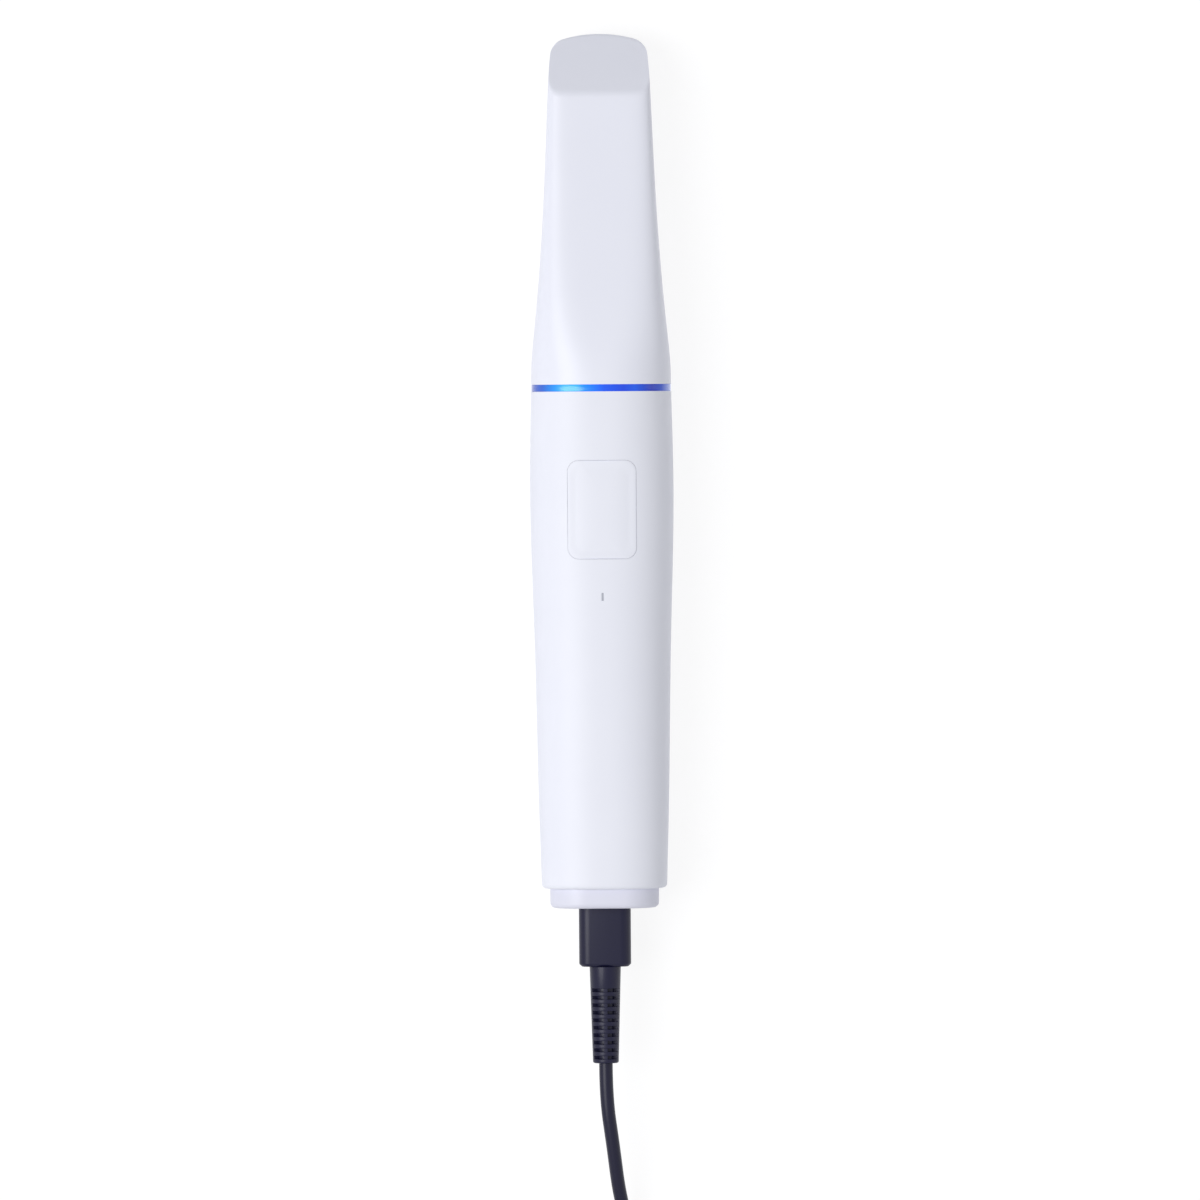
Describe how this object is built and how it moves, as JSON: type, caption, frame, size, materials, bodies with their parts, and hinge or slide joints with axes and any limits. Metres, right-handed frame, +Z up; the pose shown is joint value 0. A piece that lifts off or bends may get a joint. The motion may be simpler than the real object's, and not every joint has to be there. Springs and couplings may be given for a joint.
{
  "type": "intraoral scanner",
  "caption": "Handheld dental scanner with slide-on mirror tip, blue light ring, flush scan button, tail socket and a black USB lead, lying on its belly.",
  "frame": {"origin": "under the middle of the scanner, at the surface that the belly rests on", "axes": "+Y from the tail to the nose of the tip, +Z up through the back with the button, X across"},
  "size_m": [0.0541, 0.4338, 0.0342],
  "materials": {
    "white_abs": "satin moulded white with a cool tint",
    "cap_abs": "satin moulded pale grey",
    "tip_polymer": "smooth heat-proof polymer, cool white",
    "ring_diffuser": "clear blue light guide",
    "mirror_glass": "front-silvered glass",
    "optical_glass": "coated window glass",
    "black_anodised": "matt black anodised",
    "milled_aluminium": "milled and bead blasted",
    "seal_silicone": "matt silicone",
    "screw_steel": "bright zinc",
    "contact_steel": "nickel plated",
    "module_black": "moulded black",
    "board_laminate": "green solder mask",
    "chip_epoxy": "matt epoxy",
    "led_package": "white moulded",
    "smoked_window": "smoked clear",
    "ribbon_film": "amber film",
    "plug_tpe": "satin black overmould",
    "cable_pvc": "satin black jacket",
    "tie_strap": "black woven strap"
  },
  "bodies": {
    "scanner": {"back_cover": "white_abs", "belly_cover": "white_abs", "tail_cap": "cap_abs", "light_ring": "ring_diffuser", "led_strip": "board_laminate", "ring_leds": "led_package", "nose_barrel": "black_anodised", "nose_seal": "seal_silicone", "nose_glass": "optical_glass", "optics_chassis": "milled_aluminium", "chassis_screws": "screw_steel", "housing_screws": "screw_steel", "board_screws": "screw_steel", "button_board_screws": "screw_steel", "projector": "module_black", "camera_left": "module_black", "camera_right": "module_black", "projector_lens": "black_anodised", "camera_left_lens": "black_anodised", "camera_right_lens": "black_anodised", "button_board": "board_laminate", "button_switch": "chip_epoxy", "status_led": "led_package", "status_window": "smoked_window", "main_board": "board_laminate", "processor": "chip_epoxy", "memory": "chip_epoxy", "heat_spreader": "milled_aluminium", "board_connector": "led_package", "flat_ribbon": "ribbon_film", "usb_socket": "contact_steel", "socket_tongue": "chip_epoxy", "usb_board": "board_laminate", "board_link": "chip_epoxy"},
    "tip": {"tip_sleeve": "tip_polymer", "tip_mirror": "mirror_glass"},
    "button": {"scan_button": "white_abs", "switch_plunger": "module_black"},
    "cable": {"plug_body": "plug_tpe", "plug_shell": "contact_steel", "strain_relief": "plug_tpe", "cable_lead": "cable_pvc", "cable_end": "cable_pvc", "cable_coil": "cable_pvc", "coil_tie": "tie_strap", "far_relief": "plug_tpe", "far_body": "plug_tpe", "far_shell": "contact_steel", "far_insert": "led_package"}
  },
  "joints": [
    {"name": "tip_slide", "type": "slide", "parent": "scanner", "child": "tip", "axis": [0, 1, 0], "range_m": [0, 0.026]},
    {"name": "button_press", "type": "slide", "parent": "scanner", "child": "button", "axis": [0, 0, -1], "range_m": [0, 0.0005], "stiffness_N_per_m": 1500, "springref_m": -0.0004},
    {"name": "plug_pull", "type": "slide", "parent": "scanner", "child": "cable", "axis": [0, -1, 0], "range_m": [0, 0.011]}
  ]
}
